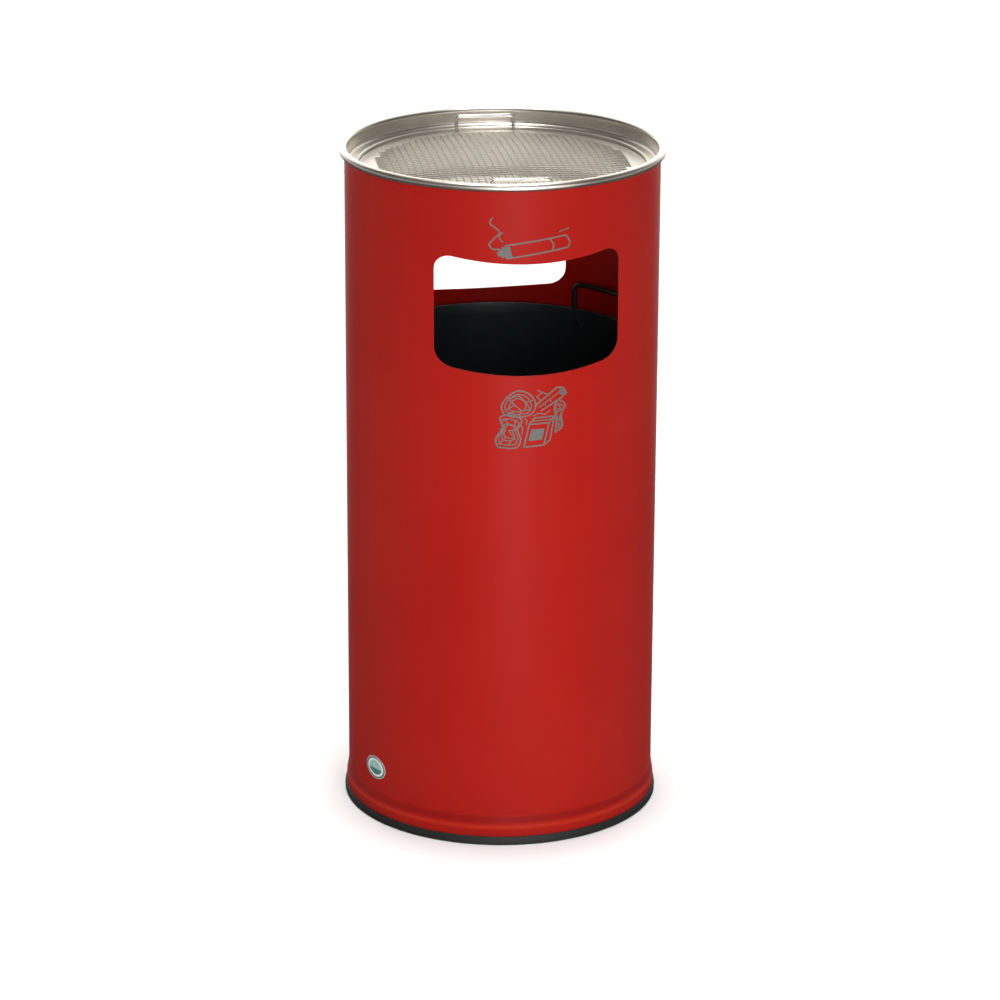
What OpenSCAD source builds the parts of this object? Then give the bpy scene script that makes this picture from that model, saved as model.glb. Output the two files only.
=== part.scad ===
// Round ashtray bin: a sheet steel shell with two openings, a lift-off ashtray bowl with a sieve,
// and a lift-out liner. Origin: middle of the underside. +Z is up, the front opening faces -Y.

/* [Shell] */
// Outside diameter of the shell
body_d = 300; // [280:5:330]
// Height from the ground to the top of the bowl's rim
total_h = 655; // [640:5:700]
// Thickness of the shell and floor sheet
shell_t = 1.2; // [1:0.1:1.5]
// How far the foot of the shell is swaged outwards
skirt_step = 2; // [1.5:0.1:2.5]
// Height of the swaged foot, up to where the wall starts to lean in
skirt_h = 18; // [14:1:20]
// Height of the leaning band above the swaged foot
swage_h = 12; // [8:1:14]

/* [Openings] */
// Width of each opening, measured straight across
window_w = 174; // [140:2:190]
// Height of each opening on its centre line
window_h = 107; // [80:1:110]
// Height of the lowest point of the lower edge
sill_z = 471; // [467:1:476]
// Radius of the gently dished lower edge
sill_r = 400; // [300:5:600]
// Radius of the gently dished upper edge
head_r = 430; // [400:5:800]
// Corner radius at the lower edge
sill_corner = 19; // [12:1:24]
// Corner radius at the upper edge
head_corner = 13; // [8:0.5:16]

/* [Base ring] */
// How far the ring stands out past the straight wall of the shell
ring_out = 4; // [3.5:0.5:6]
// Height of the ring
ring_h = 8.4; // [6:0.2:10]

/* [Ashtray bowl] */
// How far the rolled rim stands out past the shell
rim_out = 5.2; // [4:0.2:7]
// Thickness of the bowl's sheet
bowl_t = 1; // [0.8:0.1:1.2]
// Depth from the top of the rim to the ledge
dish_depth = 16.3; // [14:0.1:20]
// Width of the ledge
ledge_w = 11; // [9:0.5:13]
// Depth of the sieve's seat below the ledge
seat_drop = 4.3; // [3.5:0.1:5]
// Width of the sieve's seat
seat_w = 5.5; // [4:0.5:8]
// Depth from the top of the rim to the inside of the floor
bowl_depth = 62; // [45:1:64]

/* [Sieve] */
// Thickness of the sieve
sieve_t = 1.2; // [1:0.1:1.5]
// Rise of the sieve's dome
sieve_rise = 7; // [4:0.5:9]
// Turn of the sieve on its seat, in degrees
sieve_turn = -2.7; // [-20:0.1:20]
// Wire diameter of the sieve's handles
sieve_wire = 3.5; // [3:0.1:4]
// Width of each sieve handle between leg centres
sieve_handle_w = 56; // [45:1:70]
// Distance from the middle to each sieve handle
sieve_handle_r = 126; // [118:1:127]

/* [Liner] */
// Outside diameter of the liner
liner_d = 274; // [255:1:276]
// Height of the liner
liner_h = 442.5; // [420:0.5:443]
// Thickness of the liner's sheet
liner_t = 0.8; // [0.6:0.1:1]
// Depth of the fold along the liner's rim
hem_h = 11; // [8:1:11]
// Direction of the first liner handle, in degrees from +X
liner_turn = 24.3; // [10:0.1:36]
// Bar diameter of the liner's handles
liner_bar = 5; // [4:0.5:5]
// Height of the handle bar's centre over the liner's rim
liner_handle_h = 23.5; // [20:0.5:30]
// Half the angle that the bar of a liner handle bends round
bar_angle = 21.2; // [15:0.2:26]

/* [Hidden] */
$fn = 180;
eps = 0.01;
arc_steps = 8;          // straight pieces in a small rounded corner
edge_steps = 16;        // straight pieces along a long curved edge

body_r = body_d / 2;
shell_in = body_r - shell_t;
skirt_r = body_r + skirt_step;
edge_z = 2;             // lower edge of the shell and of the floor's flange, inside the ring's groove

rim_r = body_r + rim_out;
wall_gap = 0.5;         // gap between the bowl and the shell
bowl_out = shell_in - wall_gap;
bowl_in = bowl_out - bowl_t;
curl_r = (rim_r - bowl_in) / 2;
curl_z = total_h - curl_r;
curl_x = bowl_in + curl_r;
curl_gap_from = 180;    // the curl is open between these angles, over the shell's edge
curl_gap_to = 235;
shell_top = curl_z - curl_r - 0.2;
ledge_z = total_h - dish_depth;
seat_z = ledge_z - seat_drop;
seat_r = bowl_in - ledge_w;
well_r = seat_r - seat_w;
well_z = total_h - bowl_depth;
ledge_fillet = 3;
well_fillet = 9;

floor_gap = 0.1;        // gap between the floor's flange and the skirt
floor_out = skirt_r - shell_t - floor_gap;
floor_top = skirt_h - 0.8;
ring_r = body_r + ring_out;
ring_lip = 1.9;         // thickness of the ring's inner lip
groove_gap = 0.1;

sieve_gap = 0.2;        // gap under the sieve's edge
sieve_r = seat_r - 1.8;
sieve_z = seat_z + sieve_gap;
weld_depth = 0.4;       // how far a handle's foot is melted into the sieve
sieve_bend = 4;
sieve_lap = 0.15;       // the bar and legs of a sieve handle run this far into its bends
sieve_bar_z = total_h - 3;

liner_r = liner_d / 2;
liner_z = floor_top + 0.2;
liner_top = liner_z + liner_h;
liner_base_lift = 8;    // the liner's base sits this far above its lower edge
bar_r = liner_r + liner_bar / 2 + 0.25;
bar_z = liner_top + liner_handle_h;
bar_bend = 7;
leg_angle = bar_angle + atan(bar_bend / bar_r);
bar_lap = 0.12;         // the bar runs this many degrees into each bend
fuller = 0.04;          // a bend is thicker than the bar that ends inside it by this much
bend_d = liner_bar + fuller;
tab_t = 1.6;
tab_h = 18;
tab_w = 17;
tab_shift = 2;          // the tab's middle is this far from its rivet, towards the leg
tab_gap = 0.05;
rivet_r = 2;
rivet_head_r = 2.8;
rivet_head_h = 1.3;
rivet_drop = 14.5;      // rivet centre below the rim
rivet_side = 6;         // rivet centre beside the leg, towards the handle's middle
rivet_angle = leg_angle - rivet_side / liner_r * 180 / PI;
hole_gap = 0.1;

label_t = 0.2;
sticker_turn = -64.5;     // from the front opening's middle

// Points on an arc about [cx, cy], from angle a to angle b
function arc(cx, cy, r, a, b, steps = arc_steps) =
    [for (i = [0:steps]) let (t = a + (b - a) * i / steps) [cx + r * cos(t), cy + r * sin(t)]];

// Outline of an opening: dished upper and lower edges and four rounded corners
function window_outline() =
    let (
        x1 = window_w / 2 - sill_corner,
        x2 = window_w / 2 - head_corner,
        sill_c = sill_z + sill_r,
        head_c = sill_z + window_h + head_r,
        z1 = sill_c - sqrt(pow(sill_r - sill_corner, 2) - x1 * x1),
        z2 = head_c - sqrt(pow(head_r + head_corner, 2) - x2 * x2),
        a1 = atan2(z1 - sill_c, x1),
        a2 = atan2(head_c - z2, -x2)
    )
    concat(
        arc(0, sill_c, sill_r, -180 - a1, a1, edge_steps),
        arc(x1, z1, sill_corner, a1, 0),
        arc(x2, z2, head_corner, 0, a2),
        arc(0, head_c, head_r, a2 - 180, -a2, edge_steps),
        arc(-x2, z2, head_corner, 180 - a2, 180),
        arc(-x1, z1, sill_corner, 180, 180 - a1)
    );

// Extrudes a front view outline, drawn in X and Z, along Y
module through_front(depth) {
    rotate([90, 0, 0]) linear_extrude(height = depth, center = true) children();
}

// Sheet steel wall: rolled, welded, cut out front and back, and swaged outwards at the foot
module body_shell() {
    color("firebrick")
    difference() {
        rotate_extrude() polygon([
            [skirt_r, edge_z], [skirt_r, skirt_h], [body_r, skirt_h + swage_h], [body_r, shell_top],
            [shell_in, shell_top], [shell_in, skirt_h + swage_h], [skirt_r - shell_t, skirt_h],
            [skirt_r - shell_t, edge_z]
        ]);
        through_front(3 * body_r) polygon(window_outline());
    }
}

// Pressed floor pan, with a flange turned down inside the swaged foot
module floor_plate() {
    color("firebrick")
    rotate_extrude() polygon([
        [0, floor_top - shell_t], [floor_out - shell_t, floor_top - shell_t], [floor_out - shell_t, edge_z],
        [floor_out, edge_z], [floor_out, floor_top], [0, floor_top]
    ]);
}

// Black moulded ring, pushed up over the edges of the shell and the floor's flange
module base_ring() {
    groove_in = floor_out - shell_t - groove_gap;
    groove_out = skirt_r + groove_gap;
    foot_round = 1.5;
    top_round = (ring_r - groove_out) / 2;
    color([0.12, 0.12, 0.12])
    rotate_extrude() polygon(concat(
        [[groove_in - ring_lip, 0]],
        arc(ring_r - foot_round, foot_round, foot_round, -90, 0),
        arc(ring_r - top_round, ring_h - top_round, top_round, 0, 180),
        [[groove_out, edge_z - groove_gap], [groove_in, edge_z - groove_gap]],
        [[groove_in, ring_h - 1], [groove_in - ring_lip, ring_h - 1]]
    ));
}

// A film of label thickness on the shell, in the shape of a front view outline
module film(turn = 0) {
    rotate([0, 0, turn])
    intersection() {
        difference() {
            cylinder(h = total_h, r = body_r + label_t);
            translate([0, 0, -1]) cylinder(h = total_h + 2, r = body_r);
        }
        translate([0, -body_r, 0]) through_front(body_r) children();
    }
}

// A straight printed line between two points
module stroke(a, b, w) {
    d = b - a;
    translate(a) rotate(atan2(d[1], d[0])) translate([0, -w / 2]) square([norm(d), w]);
}

// Printed outline of a lit cigarette with its smoke, over the front opening
module cigarette_label() {
    line = 1.6;
    filter_l = 15;
    z = sill_z + window_h;
    smoke = [[-32, z + 19], [-40, z + 23], [-30, z + 31], [-39, z + 39], [-35, z + 46]];
    color([0.45, 0.46, 0.44])
    film() {
        translate([-15, z + 7.5]) rotate(7) {
            difference() {
                square([50, 12.5]);
                translate([line, line]) square([50 - filter_l - line, 12.5 - 2 * line]);
                translate([50 - filter_l + line, line]) square([filter_l - 2 * line, 12.5 - 2 * line]);
            }
            polygon([[-1, 0], [-1, 12.5], [-11, 11], [-14, 5], [-7, 0]]);
        }
        for (i = [0:len(smoke) - 2]) stroke(smoke[i], smoke[i + 1], line);
    }
}

// Printed outline drawing of mixed litter, under the front opening
module litter_label() {
    line = 1.6;
    can_r = 14;
    z = sill_z - 70.5;
    paper = [[-32, z + 8], [-12, z + 2], [-6, z + 20], [-20, z + 34], [-34, z + 24]];
    box = [[2, z], [24, z + 3], [20, z + 30], [-2, z + 27]];
    color([0.45, 0.46, 0.44])
    film() {
        for (i = [0:4]) stroke(paper[i], paper[(i + 1) % 5], line);
        for (i = [0:3]) stroke(box[i], box[(i + 1) % 4], line);
        translate([2, z + 46]) difference() {
            circle(r = can_r);
            circle(r = can_r - line);
        }
        stroke([18, z + 36], [34, z + 46], line);
    }
}

// Plain oval sticker low on the left of the shell
module oval_sticker() {
    sticker_w = 32;
    sticker_h = 23;
    bow_r = 17;         // two arcs of this radius, one above and one below, make the oval
    color([0.85, 0.86, 0.84])
    film(sticker_turn) translate([0, skirt_h + swage_h + 23.5]) intersection() {
        translate([0, bow_r - sticker_h / 2]) circle(r = bow_r);
        translate([0, sticker_h / 2 - bow_r]) circle(r = bow_r);
        square([sticker_w, sticker_h], center = true);
    }
}

// The hollow of the bowl, as a half section
module bowl_hollow() {
    polygon(concat(
        [[0, well_z]],
        arc(well_r - well_fillet, well_z + well_fillet, well_fillet, -90, 0),
        [[well_r, seat_z], [seat_r, seat_z], [seat_r, ledge_z]],
        arc(bowl_in - ledge_fillet, ledge_z + ledge_fillet, ledge_fillet, -90, 0),
        [[bowl_in, curl_z], [0, curl_z]]
    ));
}

// Spun stainless bowl: rolled rim, ledge, seat for the sieve, and the well under it
module ashtray_bowl() {
    color("silver")
    rotate_extrude() {
        difference() {
            intersection() {
                offset(r = bowl_t, $fn = 32) bowl_hollow();
                translate([0, well_z - 2 * bowl_t]) square([bowl_out, curl_z - well_z + 2 * bowl_t]);
            }
            bowl_hollow();
        }
        translate([curl_x, curl_z]) difference() {
            circle(r = curl_r);
            circle(r = curl_r - bowl_t);
            polygon(concat([[0, 0]], arc(0, 0, 2 * curl_r, curl_gap_from, curl_gap_to)));
        }
    }
}

// Domed stainless sieve, resting in its seat; its holes are left out of this solid
module sieve_disc() {
    dome = [for (i = [0:edge_steps]) let (r = sieve_r * i / edge_steps)
        [r, sieve_z + sieve_rise * (1 - pow(r / sieve_r, 2))]];
    top = [for (i = [edge_steps:-1:0]) dome[i] + [0, sieve_t]];
    color("gainsboro") rotate_extrude() polygon(concat(dome, top));
}

// Wire handle: two legs, two bends and a bar, across X at the sieve's front
module sieve_handle() {
    half = sieve_handle_w / 2;
    rise = sieve_rise * (1 - pow(sieve_handle_r / sieve_r, 2));
    foot_z = sieve_z + rise + sieve_t - weld_depth;
    bar_half = half - sieve_bend + sieve_lap;
    leg_top = sieve_bar_z - sieve_bend + sieve_lap;
    translate([0, -sieve_handle_r, 0]) {
        translate([-bar_half, 0, sieve_bar_z]) rotate([0, 90, 0])
            cylinder(h = 2 * bar_half, d = sieve_wire, $fn = 32);
        for (side = [-1, 1]) {
            translate([side * half, 0, foot_z]) cylinder(h = leg_top - foot_z, d = sieve_wire, $fn = 32);
            translate([side * (half - sieve_bend), 0, sieve_bar_z - sieve_bend])
                rotate([90, 0, 0]) rotate([0, 0, 45 - 45 * side]) rotate_extrude(angle = 90)
                translate([sieve_bend, 0]) circle(d = sieve_wire + fuller, $fn = 32);
        }
    }
}

module sieve_handle_front() {
    color("silver") rotate([0, 0, sieve_turn]) sieve_handle();
}

module sieve_handle_back() {
    color("silver") rotate([0, 0, sieve_turn + 180]) sieve_handle();
}

// Puts its children at each rivet's place, with Z pointing outwards along the rivet
module at_rivets() {
    for (turn = [0, 180], side = [-1, 1])
        rotate([0, 0, liner_turn + turn + side * rivet_angle])
        translate([0, 0, liner_top - rivet_drop]) rotate([0, 90, 0]) children();
}

// Rolled liner wall, folded inwards along the rim, with holes for the handles' rivets
module liner_wall() {
    color([0.09, 0.12, 0.13])
    difference() {
        rotate_extrude() polygon([
            [liner_r - liner_t, liner_z], [liner_r, liner_z], [liner_r, liner_top],
            [liner_r - 2 * liner_t, liner_top], [liner_r - 2 * liner_t, liner_top - hem_h],
            [liner_r - liner_t, liner_top - hem_h]
        ]);
        at_rivets() translate([0, 0, liner_r - 10]) cylinder(h = 20, r = rivet_r + hole_gap, $fn = 32);
    }
}

// Pressed liner base, with a flange turned down inside the wall
module liner_base() {
    base_r = liner_r - liner_t - 0.1;
    base_z = liner_z + liner_base_lift;
    color([0.09, 0.12, 0.13])
    rotate_extrude() polygon([
        [0, base_z], [base_r - liner_t, base_z], [base_r - liner_t, liner_z + 1], [base_r, liner_z + 1],
        [base_r, base_z + liner_t], [0, base_z + liner_t]
    ]);
}

// Black bar handle, bent to the liner's curve, with two flattened feet riveted to the wall
module liner_handle() {
    leg_low = liner_top - rivet_drop - 4;
    tab_in = liner_r + tab_gap;
    rotate([0, 0, -bar_angle - bar_lap]) rotate_extrude(angle = 2 * (bar_angle + bar_lap))
        translate([bar_r, bar_z]) circle(d = liner_bar, $fn = 32);
    for (side = [0, 1]) mirror([0, side, 0]) {
        rotate([0, 0, bar_angle]) translate([bar_r, 0, 0]) {
            translate([0, 0, bar_z - bar_bend]) rotate([90, 0, 90])
                rotate_extrude(angle = 90) translate([bar_bend, 0]) circle(d = bend_d, $fn = 32);
            translate([0, bar_bend, leg_low])
                cylinder(h = bar_z - bar_bend - leg_low, d = bend_d, $fn = 32);
        }
        rotate([0, 0, rivet_angle]) translate([0, 0, liner_top - rivet_drop]) difference() {
            intersection() {
                cylinder(h = tab_h, r = tab_in + tab_t, center = true);
                translate([liner_r, tab_shift, 0]) cube([4 * tab_t, tab_w, tab_h], center = true);
            }
            cylinder(h = 2 * tab_h, r = tab_in, center = true);
            rotate([0, 90, 0]) cylinder(h = 2 * liner_r, r = rivet_r + hole_gap, $fn = 32);
        }
    }
}

module liner_handle_right() {
    color([0.07, 0.07, 0.07]) rotate([0, 0, liner_turn]) liner_handle();
}

module liner_handle_left() {
    color([0.07, 0.07, 0.07]) rotate([0, 0, liner_turn + 180]) liner_handle();
}

// Four rivets with a head on each side of the liner's wall
module liner_rivets() {
    inner = liner_r - liner_t - 0.1;
    outer = liner_r + tab_gap + tab_t + 0.1;
    color([0.35, 0.36, 0.36])
    at_rivets() {
        translate([0, 0, inner - eps]) cylinder(h = outer - inner + 2 * eps, r = rivet_r, $fn = 32);
        translate([0, 0, outer]) cylinder(h = rivet_head_h, r1 = rivet_head_r, r2 = rivet_r, $fn = 32);
        translate([0, 0, inner - rivet_head_h])
            cylinder(h = rivet_head_h, r1 = rivet_r, r2 = rivet_head_r, $fn = 32);
    }
}

body_shell();
floor_plate();
base_ring();
cigarette_label();
litter_label();
oval_sticker();
ashtray_bowl();
sieve_disc();
sieve_handle_front();
sieve_handle_back();
liner_wall();
liner_base();
liner_handle_right();
liner_handle_left();
liner_rivets();
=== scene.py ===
import math

import bmesh
import bpy
import numpy as np
from mathutils import Matrix, Quaternion, Vector


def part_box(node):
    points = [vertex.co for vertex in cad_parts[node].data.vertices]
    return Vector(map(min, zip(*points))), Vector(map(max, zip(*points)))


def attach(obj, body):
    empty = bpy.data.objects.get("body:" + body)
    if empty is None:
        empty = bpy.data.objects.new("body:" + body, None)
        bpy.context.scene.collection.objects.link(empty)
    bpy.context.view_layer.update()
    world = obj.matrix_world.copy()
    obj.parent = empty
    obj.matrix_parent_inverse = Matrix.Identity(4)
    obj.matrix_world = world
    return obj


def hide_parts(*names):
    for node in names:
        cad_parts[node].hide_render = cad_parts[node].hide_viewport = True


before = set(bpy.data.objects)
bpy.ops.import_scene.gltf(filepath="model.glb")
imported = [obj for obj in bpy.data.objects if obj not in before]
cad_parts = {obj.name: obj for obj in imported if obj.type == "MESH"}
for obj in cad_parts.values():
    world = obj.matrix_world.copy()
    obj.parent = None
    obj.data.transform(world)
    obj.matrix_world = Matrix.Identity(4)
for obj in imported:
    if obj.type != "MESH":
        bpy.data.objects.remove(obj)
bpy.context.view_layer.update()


# ---------------------------------------------------------------------------------------------
# Base ring
# A moulded ring of black rubber, pushed up over the cut edge of the shell and of the floor's
# flange. It keeps the steel off the ground and is all that touches it.

def arc(cx, cy, r, start, end, steps=8):
    """Points on an arc, between two angles in degrees."""
    t = np.radians(np.linspace(start, end, steps + 1))
    return np.column_stack([cx + r * np.cos(t), cy + r * np.sin(t)])


def rounded(corners, steps=7, closed=False):
    """A path through (x, y, radius) corners, with an arc at each corner that has a radius."""
    out = []
    for i, (x, y, r) in enumerate(corners):
        here = np.array([x, y])
        if r == 0 or (not closed and i in (0, len(corners) - 1)):
            out.append(here)
            continue
        before = np.array(corners[i - 1][:2]) - here
        after = np.array(corners[(i + 1) % len(corners)][:2]) - here
        before /= np.linalg.norm(before)
        after /= np.linalg.norm(after)
        half = math.acos(np.clip(before @ after, -1, 1)) / 2
        middle = here + (before + after) / np.linalg.norm(before + after) * r / math.sin(half)
        a = here + before * r / math.tan(half) - middle
        b = here + after * r / math.tan(half) - middle
        first = math.atan2(a[1], a[0])
        turn = (math.atan2(b[1], b[0]) - first + math.pi) % (2 * math.pi) - math.pi
        t = first + turn * np.linspace(0, 1, steps + 1)
        out.extend(middle + r * np.column_stack([np.cos(t), np.sin(t)]))
    return np.array(out)


def make_piece(name, points, faces, sharp=35):
    """A mesh object from points and faces: doubles merged, faces outwards, smooth but for its edges."""
    mesh = bpy.data.meshes.new(name)
    mesh.from_pydata([tuple(p) for p in points], [], [tuple(f) for f in faces])
    work = bmesh.new()
    work.from_mesh(mesh)
    bmesh.ops.remove_doubles(work, verts=work.verts, dist=2e-6)
    bmesh.ops.recalc_face_normals(work, faces=work.faces)
    work.to_mesh(mesh)
    work.free()
    mesh.shade_smooth()
    mesh.set_sharp_from_angle(angle=math.radians(sharp))
    piece = bpy.data.objects.new(name, mesh)
    bpy.context.scene.collection.objects.link(piece)
    return piece


def lathe(name, outline, steps=288, sharp=35):
    """A solid turned about Z from a closed outline of (radius, height) points."""
    outline = np.asarray(outline)
    turn = np.linspace(0, 2 * math.pi, steps, endpoint=False)
    r, z = outline[:, 0], outline[:, 1]
    points = np.stack([np.outer(np.cos(turn), r), np.outer(np.sin(turn), r),
                       np.outer(np.ones(steps), z)], axis=-1).reshape(-1, 3)
    count = len(outline)
    faces = []
    for i in range(steps):
        a, b = i * count, (i + 1) % steps * count
        for j in range(count):
            k = (j + 1) % count
            if r[j] > 0 or r[k] > 0:
                faces.append((a + j, b + j, b + k, a + k))
    return make_piece(name, points, faces, sharp)


class Wire:
    """One socket of a node tree. Sums and products of wires add their own Math nodes."""

    def __init__(self, tree, socket=None):
        self.tree = tree
        self.socket = socket

    def node(self, kind, settings, inputs, output=0):
        made = self.tree.nodes.new(kind)
        for name, value in settings.items():
            if name == "stops":
                ramp = made.color_ramp.elements
                while len(ramp) < len(value):
                    ramp.new(0.5)
                for element, (place, colour) in zip(ramp, value):
                    element.position = place
                    element.color = (*colour, 1)
            else:
                setattr(made, name, value)
        for key, value in inputs.items():
            if isinstance(value, Wire):
                self.tree.links.new(value.socket, made.inputs[key])
            else:
                made.inputs[key].default_value = value
        return Wire(self.tree, made.outputs[output])

    def maths(self, operation, *values, clamp=False):
        settings = {"operation": operation, "use_clamp": clamp}
        return self.node("ShaderNodeMath", settings, dict(enumerate(values)))

    def __add__(self, other):
        return self.maths("ADD", self, other)

    def __sub__(self, other):
        return self.maths("SUBTRACT", self, other)

    def __rsub__(self, other):
        return self.maths("SUBTRACT", other, self)

    def __mul__(self, other):
        return self.maths("MULTIPLY", self, other)

    def __truediv__(self, other):
        return self.maths("DIVIDE", self, other)

    __radd__ = __add__
    __rmul__ = __mul__

    def ease(self, low, high):
        """0 below low, 1 above high, and smooth between them."""
        return self.node("ShaderNodeMapRange", {"interpolation_type": "SMOOTHSTEP"},
                         {0: self, 1: low, 2: high, 3: 0.0, 4: 1.0})

    def blend(self, low, high):
        """A colour between low and high, by this wire."""
        low = low if isinstance(low, Wire) else (*low, 1)
        high = high if isinstance(high, Wire) else (*high, 1)
        return self.node("ShaderNodeMix", {"data_type": "RGBA"}, {0: self, 6: low, 7: high}, 2)


class Finish:
    """A material under construction, with the patterns that this bin's finishes share."""

    def __init__(self, name, **fixed):
        self.material = bpy.data.materials.new(name)
        self.material.use_nodes = True
        self.tree = self.material.node_tree
        self.shader = self.tree.nodes["Principled BSDF"]
        self.root = Wire(self.tree)
        for socket, value in fixed.items():
            self.shader.inputs[socket.replace("_", " ")].default_value = value
        self.place = self.root.node("ShaderNodeTexCoord", {}, {}, 3)

    def stretched(self, x, y, z):
        """Object coordinates, scaled along each axis."""
        return self.root.node("ShaderNodeMapping", {}, {0: self.place, 3: (x, y, z)})

    def noise(self, scale, detail=2.0, roughness=0.5, place=None):
        return self.root.node("ShaderNodeTexNoise", {},
                              {"Vector": place or self.place, "Scale": scale, "Detail": detail,
                               "Roughness": roughness})

    def axis(self, index):
        return self.root.node("ShaderNodeSeparateXYZ", {}, {0: self.place}, index)

    def radius(self):
        """Distance from the bin's own axis."""
        x, y = self.axis(0), self.axis(1)
        return self.root.maths("SQRT", x * x + y * y)

    def angle(self):
        """Direction round the bin's own axis, in radians."""
        return self.root.maths("ARCTAN2", self.axis(1), self.axis(0))

    def drive(self, socket, wire):
        self.tree.links.new(wire.socket, self.shader.inputs[socket])

    def relief(self, *layers):
        """Bump layers as (height, depth in metres)."""
        normal = None
        for height, depth in layers:
            inputs = {"Height": height, "Distance": depth, "Strength": 1.0}
            if normal:
                inputs["Normal"] = normal
            normal = self.root.node("ShaderNodeBump", {}, inputs)
        self.drive("Normal", normal)


def fit(piece, body, slot, finish, *nodes):
    """Gives a piece its finish and body, and lets it stand for its CAD nodes."""
    piece.data.materials.clear()
    piece.data.materials.append(finish.material)
    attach(piece, body)
    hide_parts(*nodes)
    return piece


RING_IN, RING_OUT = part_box("base_ring")[1].x - 0.0065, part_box("base_ring")[1].x
RING_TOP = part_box("base_ring")[1].z
SKIRT_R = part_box("body_shell")[1].x
RING_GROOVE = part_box("body_shell")[0].z - 0.0001
FLANGE_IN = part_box("floor_plate")[1].x - 0.0012

ring_outline = rounded([
    (RING_IN, 0, 0.0008), (RING_OUT - 0.0002, 0, 0.0012), (RING_OUT, 0.0036, 0.0015),
    (RING_OUT - 0.0008, RING_TOP, 0.0005), (SKIRT_R + 0.00005, RING_TOP, 0.0002),
    (SKIRT_R + 0.00005, RING_GROOVE, 0), (FLANGE_IN - 0.00005, RING_GROOVE, 0),
    (FLANGE_IN - 0.00005, RING_TOP - 0.001, 0.0004), (RING_IN, RING_TOP - 0.001, 0.0008),
], closed=True)
ring = lathe("base_ring_moulded", ring_outline)

rubber = Finish("black_rubber", Roughness=0.6, Specular_IOR_Level=0.35)
rubber_dust = rubber.noise(260, 4, 0.65)
rubber_low = 1 - rubber.axis(2).ease(0.0, 0.004)
rubber_scuff = (rubber_dust * 0.5 + rubber_low * 0.4).ease(0.3, 0.8)
rubber.drive("Base Color", rubber_scuff.blend((0.013, 0.014, 0.015), (0.035, 0.036, 0.036)))
rubber.drive("Roughness", rubber_dust * 0.25 + 0.45)
rubber.relief((rubber.noise(2200, 2), 0.00003))
fit(ring, "housing", "ring_rubber", rubber, "base_ring")


# ---------------------------------------------------------------------------------------------
# Body shell
# Steel sheet rolled into a tube and seam welded, laser cut front and back for the openings, and
# swaged outwards at the foot. It is powder coated red inside and out after it is formed.
SHEET = 0.0012
BODY_R = SKIRT_R - 0.002
SHELL_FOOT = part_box("body_shell")[0].z
SHELL_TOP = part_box("body_shell")[1].z
SKIRT_H = 0.018
SWAGE_H = 0.012
CUT_ROUND = 0.0004

OPENING_W = 0.174
OPENING_H = 0.107
SILL_Z = 0.471
SILL_R = 0.4
HEAD_R = 0.43
SILL_CORNER = 0.019
HEAD_CORNER = 0.013

FIELD = math.radians(45)        # half the angle of the patch of mesh round each opening
FIELD_LOW, FIELD_HIGH = 0.446, 0.606
ACROSS, UP = 64, 40             # mesh steps across and up that patch


def opening_sides():
    """The opening's outline as four paths, each from the middle of a corner to the next one's."""
    x1 = OPENING_W / 2 - SILL_CORNER
    x2 = OPENING_W / 2 - HEAD_CORNER
    sill = SILL_Z + SILL_R
    head = SILL_Z + OPENING_H + HEAD_R
    z1 = sill - math.sqrt((SILL_R - SILL_CORNER) ** 2 - x1 ** 2)
    z2 = head - math.sqrt((HEAD_R + HEAD_CORNER) ** 2 - x2 ** 2)
    a1 = math.degrees(math.atan2(z1 - sill, x1))
    a2 = math.degrees(math.atan2(head - z2, -x2))
    bottom = [arc(-x1, z1, SILL_CORNER, 180 - a1 / 2, 180 - a1, 30),
              arc(0, sill, SILL_R, -180 - a1, a1, 200),
              arc(x1, z1, SILL_CORNER, a1, a1 / 2, 30)]
    right = [arc(x1, z1, SILL_CORNER, a1 / 2, 0, 30), arc(x2, z2, HEAD_CORNER, 0, a2 / 2, 30)]
    top = [arc(x2, z2, HEAD_CORNER, a2 / 2, a2, 30),
           arc(0, head, HEAD_R, a2 - 180, -a2, 200),
           arc(-x2, z2, HEAD_CORNER, 180 - a2, 180 - a2 / 2, 30)]
    left = [arc(-x2, z2, HEAD_CORNER, 180 - a2 / 2, 180, 30),
            arc(-x1, z1, SILL_CORNER, 180, 180 - a1 / 2, 30)]
    return [np.vstack(side) for side in (bottom, right, top, left)]


def resample(path, count):
    """The same path with count steps, shorter towards its ends."""
    length = np.concatenate([[0], np.cumsum(np.linalg.norm(np.diff(path, axis=0), axis=1))])
    even = np.linspace(0, 1, count + 1)
    share = 0.2 * even + 0.8 * (1 - np.cos(math.pi * even)) / 2
    return np.column_stack([np.interp(share * length[-1], length, path[:, i]) for i in (0, 1)])


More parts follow.
